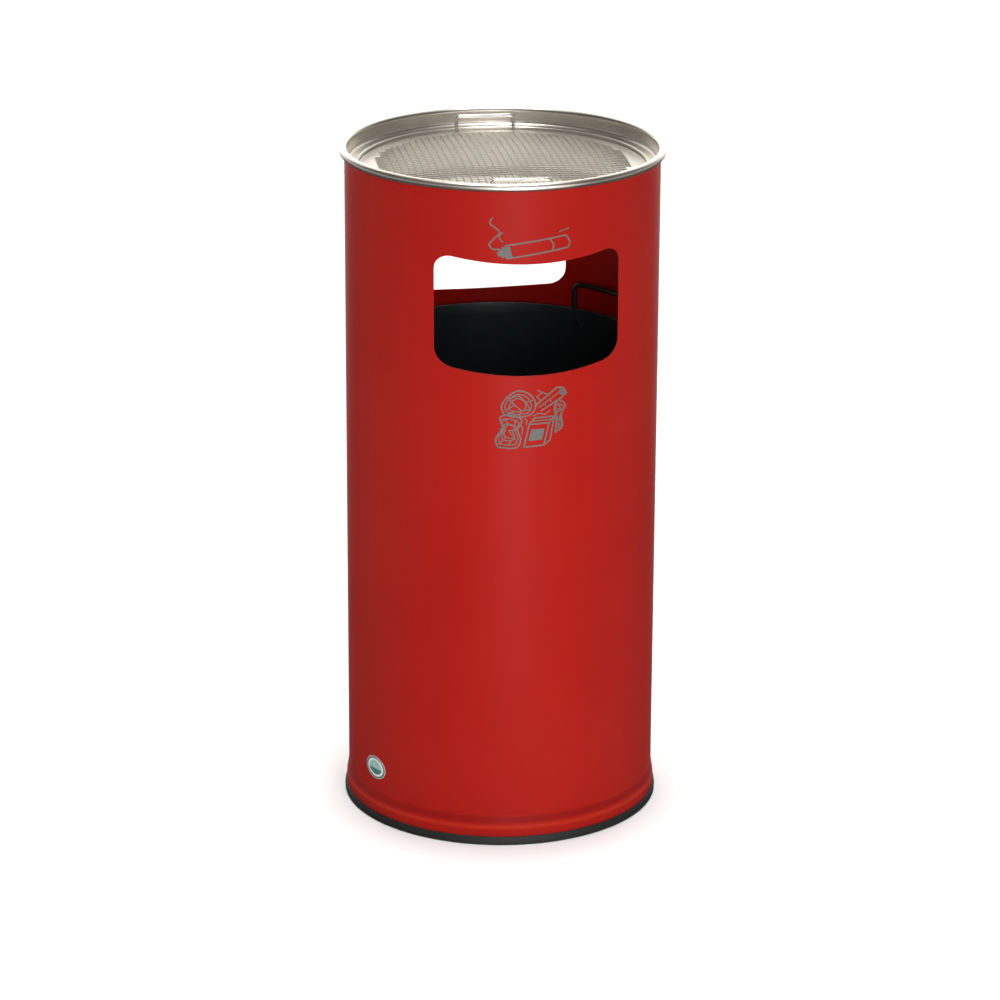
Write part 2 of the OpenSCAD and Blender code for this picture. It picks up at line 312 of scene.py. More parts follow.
def shell_wall():
    """Points and faces of the shell: a turned wall, with a ring-shaped patch round each opening."""
    field_z = np.linspace(FIELD_LOW, FIELD_HIGH, UP + 1)
    foot = rounded([(SKIRT_R, SHELL_FOOT, 0), (SKIRT_R, SKIRT_H, 0.004),
                    (BODY_R, SKIRT_H + SWAGE_H, 0.0025), (BODY_R, 0.038, 0)])
    rows = np.concatenate([np.linspace(0.038, FIELD_LOW, 14)[1:], field_z[1:],
                           np.linspace(FIELD_HIGH, SHELL_TOP - CUT_ROUND, 5)[1:]])
    outer = np.vstack([foot, np.column_stack([np.full(len(rows), BODY_R), rows])])
    inner = (outer - [SHEET, 0])[::-1]
    lip = rounded([(BODY_R, SHELL_TOP - 0.001, 0), (BODY_R, SHELL_TOP, CUT_ROUND),
                   (BODY_R - SHEET, SHELL_TOP, CUT_ROUND), (BODY_R - SHEET, SHELL_TOP - 0.001, 0)], 3)
    section = np.vstack([outer, lip[2:-2], inner])
    front = np.linspace(-FIELD, FIELD, ACROSS + 1)
    side = np.linspace(FIELD, math.pi - FIELD, ACROSS + 1)
    turn = np.concatenate([front[:-1], side[:-1], front[:-1] + math.pi, side[:-1] + math.pi])

    def place(r, angle, z):
        return np.column_stack([r * np.sin(angle), -r * np.cos(angle), z * np.ones_like(angle)])

    points = [place(r, turn, z) for r, z in section]
    faces = []
    count, steps = len(section), len(turn)
    in_field = (section[:, 1] > FIELD_LOW - 1e-6) & (section[:, 1] < FIELD_HIGH + 1e-6)
    for i in range(count):
        k = (i + 1) % count
        same_wall = abs(section[i, 0] - section[k, 0]) < 1e-6
        for j in range(steps):
            patch = j % (2 * ACROSS) < ACROSS
            if not (in_field[i] and in_field[k] and same_wall and patch):
                n = (j + 1) % steps
                faces.append((i * steps + j, i * steps + n, k * steps + n, k * steps + j))

    outline = np.vstack([resample(side, n)[:-1] for side, n in
                         zip(opening_sides(), (ACROSS, UP, ACROSS, UP))])
    step = np.roll(outline, -1, axis=0) - np.roll(outline, 1, axis=0)
    away = np.column_stack([step[:, 1], -step[:, 0]]) / np.linalg.norm(step, axis=1)[:, None]
    low, high = np.full(ACROSS, FIELD_LOW), np.full(ACROSS, FIELD_HIGH)
    edge = np.vstack([np.column_stack([front[:-1], low]),
                      np.column_stack([np.full(UP, FIELD), field_z[:-1]]),
                      np.column_stack([front[:0:-1], high]),
                      np.column_stack([np.full(UP, -FIELD), field_z[:0:-1]])])

    def ring_at(r, offset, share=1.0):
        cut = outline + away * offset
        angle = edge[:, 0] * (1 - share) + np.arcsin(cut[:, 0] / r) * share
        return place(r, angle, edge[:, 1] * (1 - share) + cut[:, 1] * share)

    shares = (0, 0.2, 0.4, 0.6, 0.78, 0.9, 0.97, 1)
    rings = [ring_at(BODY_R, CUT_ROUND, s) for s in shares]
    for depth, offset in ((0.12, 0.5), (0.5, 0.12), (1, 0)):
        rings.append(ring_at(BODY_R - CUT_ROUND * depth, CUT_ROUND * offset))
    for depth, offset in ((1, 0), (0.5, 0.12), (0.12, 0.5)):
        rings.append(ring_at(BODY_R - SHEET + CUT_ROUND * depth, CUT_ROUND * offset))
    rings += [ring_at(BODY_R - SHEET, CUT_ROUND, s) for s in reversed(shares)]
    for flip in (1, -1):
        start = sum(len(p) for p in points)
        points += [ring * [flip, flip, 1] for ring in rings]
        n = len(outline)
        for i in range(len(rings) - 1):
            for j in range(n):
                k = (j + 1) % n
                a = start + i * n
                faces.append((a + j, a + k, a + n + k, a + n + j))
    return np.vstack(points), faces


shell = make_piece("shell_wall", *shell_wall())

# Colours of the painted shade in the swage's hollow and of the painted highlight on its lower edge.
HOLLOW_PAINTED_SHADE = 0.24, 0.0036, 0.002
EDGE_PAINTED_HIGHLIGHT = 0.50, 0.028, 0.008

paint = Finish("red_powder_coat", Specular_IOR_Level=0.09)
paint_cloud = paint.noise(5, 3, 0.5)
paint_grain = paint.noise(1400, 2, 0.5)
# The swage is real, but the shade in its hollow and the light on its lower edge are mostly painted into the
# colour by height: a painted shade and a painted highlight.
paint_height = paint.axis(2)
painted_shade_in_hollow = paint_height.ease(0.0205, 0.0235) * (1 - paint_height.ease(0.0265, 0.031))
painted_highlight_on_edge = paint_height.ease(0.0145, 0.0175) * (1 - paint_height.ease(0.0185, 0.0205))
coat = (paint_cloud * 0.7 + paint_grain * 0.3).ease(0.3, 0.7).blend(
    (0.345, 0.0062, 0.0028), (0.38, 0.0092, 0.0042))
# Painted shade in the swage's hollow, then a painted highlight on its lower edge, over the coat.
coat = (painted_shade_in_hollow * 0.8).blend(coat, HOLLOW_PAINTED_SHADE)
paint.drive("Base Color", (painted_highlight_on_edge * 0.6).blend(coat, EDGE_PAINTED_HIGHLIGHT))
paint.drive("Roughness", paint_cloud * 0.08 + paint_grain * 0.08 + 0.3)
paint.relief((paint.noise(620, 2, 0.5), 0.00002), (paint_grain, 0.000006))
fit(shell, "housing", "shell_paint", paint, "body_shell")


# ---------------------------------------------------------------------------------------------
# Floor
# A pressed pan of the same sheet, pushed up inside the foot against the swage. Its flange is
# spot welded to the shell and shares the ring's groove.

def sheet(path, thickness):
    """The closed outline of bent sheet whose middle follows the path."""
    along = np.diff(path, axis=0)
    along /= np.linalg.norm(along, axis=1)[:, None]
    along = np.vstack([along[:1], along[:-1] + along[1:], along[-1:]])
    along /= np.linalg.norm(along, axis=1)[:, None]
    out = np.column_stack([along[:, 1], -along[:, 0]]) * thickness / 2
    return np.vstack([path + out, (path - out)[::-1]])


FLOOR_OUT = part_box("floor_plate")[1].x
FLOOR_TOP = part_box("floor_plate")[1].z
floor_path = rounded([(0, FLOOR_TOP - SHEET / 2, 0), (0.11, FLOOR_TOP - SHEET / 2, 0.02),
                      (0.118, FLOOR_TOP - SHEET / 2 - 0.002, 0.02),
                      (0.13, FLOOR_TOP - SHEET / 2 - 0.002, 0.02), (0.138, FLOOR_TOP - SHEET / 2, 0.02),
                      (FLOOR_OUT - SHEET / 2, FLOOR_TOP - SHEET / 2, 0.0022),
                      (FLOOR_OUT - SHEET / 2, SHELL_FOOT, 0)])
fit(lathe("floor_pan", sheet(floor_path, SHEET)), "housing", "shell_paint", paint, "floor_plate")


# ---------------------------------------------------------------------------------------------
# Printed symbols
# Screen printed grey ink on the front of the shell: a lit cigarette over the opening, and mixed
# litter under it. The ink is a thin film that follows the curve of the steel.
INK = 0.00012
LINE = 0.0014
THIN = 0.001

strokes = []                    # each is a path of (distance round the shell, height) and a width


def stroke(path, width=LINE):
    """Adds one line to the drawing, in steps short enough to follow the shell's curve."""
    path = np.asarray(path, float)
    fine = [path[:1]]
    for a, b in zip(path, path[1:]):
        steps = max(1, math.ceil(np.linalg.norm(b - a) / 0.0016))
        fine.append(a + (b - a) * np.linspace(0, 1, steps + 1)[1:, None])
    strokes.append((np.vstack(fine), width))


def curve(path, closed=False, steps=6):
    """A smooth path through the given points."""
    p = np.asarray(path, float)
    p = np.vstack([p[-1:], p, p[:2]]) if closed else np.vstack([2 * p[0] - p[1], p, 2 * p[-1] - p[-2]])
    t = np.linspace(0, 1, steps, endpoint=False)[:, None]
    out = []
    for a, b, c, d in zip(p, p[1:], p[2:], p[3:]):
        out.append(0.5 * (2 * b + (c - a) * t + (2 * a - 5 * b + 4 * c - d) * t ** 2
                          + (3 * b - a - 3 * c + d) * t ** 3))
    out.append(p[-2:-1])
    return np.vstack(out)


def ribbon(path, width):
    """Left and right edges of a line of constant width, with mitred joints."""
    closed = np.linalg.norm(path[0] - path[-1]) < 1e-7
    along = np.diff(path, axis=0)
    along /= np.linalg.norm(along, axis=1)[:, None]
    before = np.vstack([along[-1:] if closed else along[:1], along])
    after = np.vstack([along, along[:1] if closed else along[-1:]])
    middle = before + after
    middle /= np.linalg.norm(middle, axis=1)[:, None]
    mitre = np.minimum(1 / np.maximum((middle * after).sum(axis=1), 0.5), 1.6)
    out = np.column_stack([-middle[:, 1], middle[:, 0]]) * (width / 2 * mitre)[:, None]
    return path + out, path - out


def print_on_shell(name, node, centre_angle=0.0):
    """Turns the waiting strokes into one film of ink on the shell."""
    points, faces = [], []
    for path, width in strokes:
        left, right = ribbon(path, width)
        start = len(points)
        for r in (BODY_R + 0.00003, BODY_R + INK):
            for edge in (left, right):
                angle = edge[:, 0] / BODY_R + centre_angle
                points.extend(np.column_stack([r * np.sin(angle), -r * np.cos(angle), edge[:, 1]]))
        n = len(left)
        corners = [start + i * n for i in (0, 1, 3, 2)]
        for i in range(n - 1):
            for a, b in zip(corners, corners[1:] + corners[:1]):
                faces.append((a + i, b + i, b + i + 1, a + i + 1))
        for i in (0, n - 1):
            faces.append(tuple(c + i for c in corners))
    strokes.clear()
    piece = make_piece(name, points, faces, 60)
    fit(piece, "housing", "print_grey", ink, node)


ink = Finish("grey_print", Roughness=0.55)
ink_wear = ink.noise(900, 3, 0.6)
ink.drive("Base Color", ink_wear.ease(0.35, 0.75).blend((0.105, 0.105, 0.098), (0.165, 0.158, 0.145)))
ink.drive("Roughness", ink_wear * 0.2 + 0.45)

top_of_opening = SILL_Z + OPENING_H
lean = math.radians(7.7)


def cigarette(along, up):
    """A point on the drawn cigarette, in millimetres from the ember end of its lower line."""
    along, up = along / 1000, up / 1000
    return (-0.0190 + along * math.cos(lean) - up * math.sin(lean),
            top_of_opening + 0.0068 + along * math.sin(lean) + up * math.cos(lean))


stroke([cigarette(0, 0), cigarette(54, 0)])
stroke([cigarette(-2, 12.3), cigarette(53, 12)])
stroke(curve([cigarette(54, 0), cigarette(56, 5), cigarette(53, 12)]))
stroke(curve([cigarette(38, 0), cigarette(40, 5.5), cigarette(37, 12.2)]))
for up, reach in ((0.6, 5.5), (2.6, 9.5), (4.6, 12.5), (6.6, 13), (8.6, 11), (10.6, 8), (12, 4.5)):
    stroke([cigarette(-reach, up - 0.5), cigarette(0.6 - up * 0.12, up)], 0.0023)
stroke([cigarette(47, 16.5), cigarette(57, 18)], THIN)
stroke(curve([(-0.0300, top_of_opening + 0.0150), (-0.0365, top_of_opening + 0.0150),
              (-0.0400, top_of_opening + 0.0195), (-0.0355, top_of_opening + 0.0250),
              (-0.0305, top_of_opening + 0.0305), (-0.0345, top_of_opening + 0.0355),
              (-0.0395, top_of_opening + 0.0395), (-0.0370, top_of_opening + 0.0450)]))
stroke(curve([(-0.0275, top_of_opening + 0.0215), (-0.0310, top_of_opening + 0.0265),
              (-0.0275, top_of_opening + 0.0310)]), THIN)
print_on_shell("cigarette_print", "cigarette_label")

drawing = SILL_Z - 0.0705


def litter(*pairs):
    """Points of the litter drawing, given in millimetres from its lower left corner."""
    return [(-0.034 + x / 1000, drawing + y / 1000) for x, y in pairs]


outlines = (
    ((27, 1.5), (46, 2.5), (51, 24), (32, 23.5), (27, 1.5)),                # carton
    ((32, 23.5), (37, 29.5), (56, 30), (51, 24)),
    ((46, 2.5), (52, 7), (56, 30)),
    ((37, 41), (58, 57.5), (64.5, 57), (68, 51.5), (64, 48), (43, 36)),     # rolled newspaper
)
for outline in outlines:
    stroke(litter(*outline))
bundles = (
    ((2, 2), (19, 1), (24, 9), (21, 19), (25, 28), (14, 33), (5, 31), (7, 20), (1, 11), (2, 2)),
    ((8, 34), (19, 31), (33, 33), (38, 42), (33, 52), (22, 56.5), (12, 51), (6, 42), (8, 34)),
    ((57, 14), (64, 19), (63, 31), (67, 40), (60, 45), (56, 38), (58, 27), (57, 14)),
    ((64.5, 57), (61, 53.5), (63.5, 50.5), (66.5, 52.5), (64.5, 55)),
)
for bundle in bundles:
    stroke(curve(litter(*bundle)))
    middle = np.mean(bundle, axis=0)
    for shrink in (0.78, 0.5):
        inner = [tuple(middle + (np.array(spot) - middle) * shrink) for spot in bundle]
        stroke(curve(litter(*inner)), THIN)
creases = (
    ((3, 4), (10, 12), (5, 19), (13, 24), (8, 30)), ((10, 12), (19, 9), (13, 18), (21, 19)),
    ((12, 3), (15, 8)), ((13, 24), (18, 22), (19, 29)), ((10, 38), (18, 43), (13, 49), (22, 52)),
    ((18, 43), (25, 37), (22, 32)), ((25, 37), (33, 38), (29, 45), (35, 47)), ((22, 52), (29, 45)),
    ((12, 36), (17, 35)), ((41, 39.5), (60, 52.5)), ((46, 43.5), (48, 41)), ((51, 47), (53, 44.5)),
    ((43, 45.5), (39, 50), (44, 54), (50, 51.5)), ((44, 54), (40, 56)), ((59, 18), (62, 24), (59, 29)),
    ((62, 24), (64, 23)), ((59, 33), (63, 36), (60, 41)), ((36, 31.5), (41, 34), (47, 32.5), (52, 36)),
    ((27, 30), (30, 27), (29, 23)), ((23, 24), (26, 20), (25, 14)), ((34, 26.5), (53, 27)),
)
for crease in creases:
    stroke(litter(*crease), THIN)
for step in range(8):
    stroke(litter((31.6 + step * 0.3, 8 + step * 1.35), (44.4 + step * 0.3, 8.7 + step * 1.35)), 0.0016)
print_on_shell("litter_print", "litter_label")


# ---------------------------------------------------------------------------------------------
# Oval sticker
# A plain domed vinyl sticker low on the left of the shell, with a coloured border round a pale
# middle. It carries no writing and no mark.
STICKER_ANGLE = math.radians(-64.5)
STICKER_Z = (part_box("oval_sticker")[0].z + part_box("oval_sticker")[1].z) / 2
STICKER_W, STICKER_H = 0.0315, (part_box("oval_sticker")[1].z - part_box("oval_sticker")[0].z) * 0.97


def sticker_film():
    """Points and faces of the oval film, in rings from its rim to its middle."""
    turn = np.linspace(0, 2 * math.pi, 72, endpoint=False)
    points, rings = [], ((1, 0.00002), (1, 0.00012), (0.985, 0.00018), (0.7, 0.00019), (0.35, 0.00019),
                         (0, 0.00019), (0, 0.00002))
    for share, height in rings:
        angle = STICKER_ANGLE + share * STICKER_W / 2 * np.cos(turn) / BODY_R
        z = STICKER_Z + share * STICKER_H / 2 * np.sin(turn)
        r = BODY_R + height
        points.append(np.column_stack([r * np.sin(angle), -r * np.cos(angle), z]))
    n, count = len(turn), len(rings)
    faces = [(i * n + j, i * n + (j + 1) % n, (i + 1) % count * n + (j + 1) % n, (i + 1) % count * n + j)
             for i in range(count) for j in range(n)]
    return np.vstack(points), faces


vinyl = Finish("sticker_vinyl", Roughness=0.28, Coat_Weight=0.3)
round_shell = (vinyl.angle() + math.pi / 2 - STICKER_ANGLE) * (2 * BODY_R / STICKER_W)
up_shell = (vinyl.axis(2) - STICKER_Z) * (2 / STICKER_H)
from_middle = vinyl.root.maths("SQRT", round_shell * round_shell + up_shell * up_shell)
vinyl_border = from_middle.ease(0.80, 0.83) * (1 - from_middle.ease(0.95, 0.97))
vinyl_field = (1 - from_middle.ease(0.62, 0.65)) * up_shell.ease(-0.12, -0.06)
vinyl_low = (1 - from_middle.ease(0.62, 0.65)) * (1 - up_shell.ease(-0.12, -0.06))
vinyl_tint = vinyl_low.blend(vinyl_field.blend((0.72, 0.74, 0.72), (0.33, 0.50, 0.49)), (0.05, 0.20, 0.16))
vinyl.drive("Base Color", vinyl_border.blend(vinyl_tint, (0.06, 0.16, 0.15)))
vinyl.drive("Roughness", vinyl.noise(300, 2) * 0.12 + 0.2)
fit(make_piece("sticker_film", *sticker_film()), "housing", "sticker_film", vinyl, "oval_sticker")


# ---------------------------------------------------------------------------------------------
# Liner
# A tub of thin black painted sheet: a rolled wall with its rim folded inwards, and a pressed
# base. It stands on the floor and lifts out by two bar handles.
LINER_T = 0.0008
LINER_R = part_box("liner_wall")[1].y
LINER_FOOT, LINER_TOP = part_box("liner_wall")[0].z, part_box("liner_wall")[1].z
HEM_H = 0.011
HEM_GAP = 0.0001

wall_mid = LINER_R - LINER_T / 2
hem_mid = wall_mid - LINER_T - HEM_GAP
fold = (wall_mid - hem_mid) / 2
wall_path = np.vstack([[(wall_mid, LINER_FOOT)], [(wall_mid, LINER_FOOT + 0.004)],
                       arc(wall_mid - fold, LINER_TOP - fold - LINER_T / 2, fold, 0, 180, 10),
                       [(hem_mid, LINER_TOP - HEM_H)]])
liner_wall = lathe("liner_tub_wall", sheet(wall_path, LINER_T))

BASE_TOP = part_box("liner_base")[1].z
base_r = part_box("liner_base")[1].x - 0.0001 - LINER_T / 2
base_mid = BASE_TOP - LINER_T / 2
base_path = rounded([(0, base_mid, 0), (base_r, base_mid, 0.0018), (base_r, LINER_FOOT + 0.001, 0)])
liner_base = lathe("liner_tub_base", sheet(base_path, LINER_T))

enamel = Finish("black_liner_paint", Roughness=0.35, Specular_IOR_Level=0.5)
enamel_cloud = enamel.noise(14, 4, 0.6)
scratch_field = enamel.stretched(220, 220, 14)
scratches = enamel.root.node("ShaderNodeTexNoise", {"noise_type": "RIDGED_MULTIFRACTAL"},
                             {"Vector": scratch_field, "Scale": 1.0, "Detail": 3.0, "Distortion": 1.2})
scratch_mask = scratches.ease(1.45, 1.9) * enamel_cloud.ease(0.5, 0.62)
fold_wear = (enamel.axis(2) - (LINER_TOP - 0.0012)).ease(0, 0.0008) * enamel.noise(120, 3).ease(0.4, 0.6)
enamel.drive("Base Color", (scratch_mask * 0.6 + fold_wear * 0.5).blend(
    enamel_cloud.blend((0.014, 0.022, 0.025), (0.022, 0.033, 0.037)), (0.11, 0.125, 0.13)))
enamel.drive("Roughness", enamel_cloud * 0.18 + scratch_mask * 0.2 + 0.27)
enamel.relief((enamel.noise(700, 2), 0.00001), (scratch_mask, 0.00001))
fit(liner_wall, "liner", "liner_paint", enamel, "liner_wall")
fit(liner_base, "liner", "liner_paint", enamel, "liner_base")


# ---------------------------------------------------------------------------------------------
# Liner handles
# Black coated 5 mm steel bar, bent round to the liner's own curve. The ends turn down, are hot
# forged flat, and are riveted to the outside of the wall.
LINER_TURN = 24.3
BAR_ANGLE = math.radians(21.2)
BAR_R = 0.0025
BAR_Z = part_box("liner_handle_right")[1].z - BAR_R
BAR_PATH_R = LINER_R + BAR_R + 0.00025
BAR_BEND = 0.007
RIVET_Z = LINER_TOP - 0.0145
RIVET_SIDE = 0.006
TAB_T, TAB_H, TAB_GAP = 0.0015, 0.018, 0.00006
LEG_ANGLE = BAR_ANGLE + math.atan(BAR_BEND / BAR_PATH_R)
RIVET_ANGLE = LEG_ANGLE - RIVET_SIDE / LINER_R


def tube(path, radii, steps=20):
    """Points and faces of a closed rod along a 3D path, with an outward and a sideways radius."""
    path = np.asarray(path)
    along = np.gradient(path, axis=0)
    along /= np.linalg.norm(along, axis=1)[:, None]
    out = path * [1, 1, 0]
    out /= np.linalg.norm(out, axis=1)[:, None]
    out -= (out * along).sum(axis=1)[:, None] * along
    out /= np.linalg.norm(out, axis=1)[:, None]
    side = np.cross(along, out)
    turn = np.linspace(0, 2 * math.pi, steps, endpoint=False)
    radii = np.broadcast_to(radii, (len(path), 2))
    rings = [p + np.outer(np.cos(turn), o) * r[0] + np.outer(np.sin(turn), s) * r[1]
             for p, o, s, r in zip(path, out, side, radii)]
    first, last = path[:1], path[-1:]
    points = np.vstack([first, *rings, last])
    faces = []
    for i in range(len(rings) - 1):
        for j in range(steps):
            k = (j + 1) % steps
            a = 1 + i * steps
            faces.append((a + j, a + k, a + steps + k, a + steps + j))
    end = 1 + (len(rings) - 1) * steps
    for j in range(steps):
        k = (j + 1) % steps
        faces.append((0, 1 + k, 1 + j))
        faces.append((len(points) - 1, end + j, end + k))
    return points, faces


def round_about(radius, angle, z):
    return np.column_stack([radius * np.cos(angle), radius * np.sin(angle), z * np.ones_like(angle)])


def handle_parts():
    """Points and faces of one liner handle, with its middle on +X."""
    down = np.linspace(RIVET_Z - 0.003, BAR_Z - BAR_BEND, 16)
    flat = np.clip((down - LINER_TOP) / 0.006 + 1.0, 0, 1)
    flat = flat * flat * (3 - 2 * flat)
    tab_mid = LINER_R + TAB_GAP + TAB_T / 2
    leg_r = tab_mid + (BAR_PATH_R - tab_mid) * flat
    leg = np.column_stack([leg_r * math.cos(LEG_ANGLE), leg_r * math.sin(LEG_ANGLE), down])
    turn = np.linspace(0, math.pi / 2, 9)[1:]
    bend_side = BAR_BEND * np.cos(turn)
    bend_angle = BAR_ANGLE + np.arctan(bend_side / BAR_PATH_R)
    bend = round_about(BAR_PATH_R, bend_angle, BAR_Z - BAR_BEND + BAR_BEND * np.sin(turn))
    half = np.vstack([leg, bend])
    bar = round_about(BAR_PATH_R, np.linspace(BAR_ANGLE, -BAR_ANGLE, 33)[1:-1], BAR_Z)
    path = np.vstack([half, bar, half[::-1] * [1, -1, 1]])
    thin = TAB_T / 2
    leg_radii = np.column_stack([thin + (BAR_R - thin) * flat, 0.0042 + (BAR_R - 0.0042) * flat])
    radii = np.vstack([leg_radii, np.full((len(bend) * 2 + len(bar), 2), BAR_R), leg_radii[::-1]])
    points, faces = tube(path, radii)
    points, faces = [points], list(faces)
    outline = rounded([(-0.0065, -TAB_H / 2, 0.004), (0.0105, -TAB_H / 2, 0.003),
                       (0.0105, TAB_H / 2, 0.006), (-0.0065, TAB_H / 2, 0.006)], 6, closed=True)
    levels = ((0, 0), (1, 0), (1, 0.8), (0.97, 1), (0, 1))
    for flip in (1, -1):
        start = sum(len(p) for p in points)
        for share, height in levels:
            spot = outline * share + np.array([0.002, 0]) * (1 - share)
            angle = flip * (RIVET_ANGLE + spot[:, 0] / LINER_R)
            points.append(round_about(LINER_R + TAB_GAP + TAB_T * height, angle, RIVET_Z + spot[:, 1]))
        n = len(outline)
        for i in range(len(levels) - 1):
            for j in range(n):
                k = (j + 1) % n
                a = start + i * n
                faces.append((a + j, a + k, a + n + k, a + n + j))
    return np.vstack(points), faces


def turned(points, degrees):
    c, s = math.cos(math.radians(degrees)), math.sin(math.radians(degrees))
    return points @ np.array([[c, s, 0], [-s, c, 0], [0, 0, 1]])


coated = Finish("black_handle_coating", Roughness=0.3, Specular_IOR_Level=0.55)
coated_cloud = coated.noise(90, 4, 0.6)
coated.drive("Base Color", coated_cloud.ease(0.45, 0.75).blend((0.008, 0.009, 0.010), (0.02, 0.021, 0.021)))
coated.drive("Roughness", coated_cloud * 0.25 + 0.2)
coated.relief((coated.noise(1100, 2), 0.00002))
handle_points, handle_faces = handle_parts()
for handle_name, degrees in (("liner_handle_right", LINER_TURN), ("liner_handle_left", LINER_TURN + 180)):
    piece = make_piece(handle_name + "_bar", turned(handle_points, degrees), handle_faces)
    fit(piece, "liner", "handle_paint", coated, handle_name)


# ---------------------------------------------------------------------------------------------
# Rivets
# Four dome headed steel rivets, two to a handle, through the wall and the handle's forged feet.
# They are painted over with the liner.

def geometry_tree(name, sockets):
    """An empty geometry tree with named inputs, and its input wires by name."""
    tree = bpy.data.node_groups.new(name, "GeometryNodeTree")
    tree.interface.new_socket("Geometry", in_out="INPUT", socket_type="NodeSocketGeometry")
    tree.interface.new_socket("Geometry", in_out="OUTPUT", socket_type="NodeSocketGeometry")
    for label, kind in sockets.items():
        tree.interface.new_socket(label, in_out="INPUT", socket_type=kind)
    source = tree.nodes.new("NodeGroupInput")
    wires = {s.name: Wire(tree, s) for s in source.outputs if s.name}
    return tree, Wire(tree), wires


def end_tree(tree, geometry, material):
    """Realize Instances, then Set Material, then the tree's output."""
    solid = geometry.node("GeometryNodeRealizeInstances", {}, {0: geometry})
    shown = geometry.node("GeometryNodeSetMaterial", {}, {"Geometry": solid, "Material": material})
    sink = tree.nodes.new("NodeGroupOutput")
    tree.links.new(shown.socket, sink.inputs[0])


def grown(name, seed_points, tree, values, attributes=None, thickness=0.0):
    """A plain mesh object grown by a geometry tree from a few seed points."""
    mesh = bpy.data.meshes.new(name)
    mesh.from_pydata([tuple(p) for p in seed_points], [], [])
    for label, vectors in (attributes or {}).items():
        layer = mesh.attributes.new(label, "FLOAT_VECTOR", "POINT")
        layer.data.foreach_set("vector", np.asarray(vectors, np.float32).ravel())
    seed = bpy.data.objects.new(name + "_seed", mesh)
    bpy.context.scene.collection.objects.link(seed)
    modifier = seed.modifiers.new("grow", "NODES")
    modifier.node_group = tree
    identifiers = {s.name: s.identifier for s in tree.interface.items_tree if s.in_out == "INPUT"}
    for label, value in values.items():
        modifier[identifiers[label]] = value
    if thickness:
        solidify = seed.modifiers.new("thickness", "SOLIDIFY")
        solidify.thickness = thickness
        solidify.offset = -1
    graph = bpy.context.evaluated_depsgraph_get()
    plain = bpy.data.meshes.new_from_object(seed.evaluated_get(graph))
    plain.name = name
    seed.modifiers.clear()
    bpy.data.objects.remove(seed)
    plain.shade_smooth()
    plain.set_sharp_from_angle(angle=math.radians(35))
    piece = bpy.data.objects.new(name, plain)
    bpy.context.scene.collection.objects.link(piece)
    return piece


RIVET_R, RIVET_HEAD_R, RIVET_HEAD_H = 0.002, 0.0034, 0.0012
rivet_low = -LINER_T - 0.0001
rivet_high = TAB_GAP + TAB_T + 0.0001
rivet_dome = arc(0, 0, 1, 90, 0, 8) * [RIVET_HEAD_R, RIVET_HEAD_H]
rivet_outline = np.vstack([rivet_dome + [0, rivet_high], [(RIVET_R, rivet_high), (RIVET_R, rivet_low)],
                           (rivet_dome * [1, -1] + [0, rivet_low])[::-1]])
rivet = lathe("rivet_model", rivet_outline, 28)

rivet_tree, made, given = geometry_tree("rivets_on_feet", {"Rivet": "NodeSocketObject",
                                                           "Paint": "NodeSocketMaterial"})
one_rivet = made.node("GeometryNodeObjectInfo", {"transform_space": "ORIGINAL"},
                      {"Object": given["Rivet"]}, "Geometry")
outwards = made.node("GeometryNodeInputNamedAttribute", {"data_type": "FLOAT_VECTOR"}, {"Name": "out"})
aim = made.node("FunctionNodeAlignRotationToVector", {"axis": "Z"}, {"Vector": outwards})
set_rivets = made.node("GeometryNodeInstanceOnPoints", {},
                       {"Points": given["Geometry"], "Instance": one_rivet, "Rotation": aim})
end_tree(rivet_tree, set_rivets, given["Paint"])

rivet_angles = [math.radians(LINER_TURN + half) + side * RIVET_ANGLE for half in (0, 180) for side in (-1, 1)]
rivet_out = [(math.cos(a), math.sin(a), 0) for a in rivet_angles]
rivet_spots = [(LINER_R * x, LINER_R * y, RIVET_Z) for x, y, _ in rivet_out]
rivets = grown("liner_rivet_set", rivet_spots, rivet_tree,
               {"Rivet": rivet, "Paint": coated.material}, {"out": rivet_out})
bpy.data.objects.remove(rivet)
fit(rivets, "liner", "rivet_steel", coated, "liner_rivets")


# ---------------------------------------------------------------------------------------------
# Ashtray bowl
# Stainless sheet spun in one piece: a rim rolled outwards over the shell's edge, an upright
# wall, a flat ledge, a seat for the sieve, and the well that holds the ash.
BOWL_T = 0.001
RIM_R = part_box("ashtray_bowl")[1].x
RIM_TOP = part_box("ashtray_bowl")[1].z
bowl_wall = BODY_R - SHEET - 0.0005 - BOWL_T / 2
curl_r = (RIM_R - bowl_wall - BOWL_T / 2) / 2
curl_x = bowl_wall + curl_r
curl_z = RIM_TOP - curl_r - BOWL_T / 2
LEDGE_Z = RIM_TOP - 0.0163
SEAT_Z = LEDGE_Z - 0.0043
SEAT_R = BODY_R - SHEET - 0.0005 - BOWL_T - 0.011
WELL_R = SEAT_R - 0.0055
WELL_Z = RIM_TOP - 0.062
half_t = BOWL_T / 2

bowl_path = np.vstack([
    rounded([(0, WELL_Z - half_t, 0), (WELL_R + half_t, WELL_Z - half_t, 0.0095),
             (WELL_R + half_t, SEAT_Z - half_t, 0.0013), (SEAT_R + half_t, SEAT_Z - half_t, 0.0009),
             (SEAT_R + half_t, LEDGE_Z - half_t, 0.0012), (bowl_wall, LEDGE_Z - half_t, 0.0035),
             (bowl_wall, curl_z - 0.0003, 0)], 8),
    arc(curl_x, curl_z, curl_r, 180, -125, 40)])
bowl = lathe("spun_bowl", sheet(bowl_path, BOWL_T), 320)

stainless = Finish("spun_stainless", Metallic=1.0, Roughness=0.3)
turned_lines = stainless.root.node("ShaderNodeCombineXYZ", {}, {
    0: stainless.radius() * 1600, 1: stainless.axis(2) * 1600, 2: stainless.angle() * 0.6})
spin_marks = stainless.noise(1.0, 4, 0.6, turned_lines)
haze = stainless.noise(22, 4, 0.55)
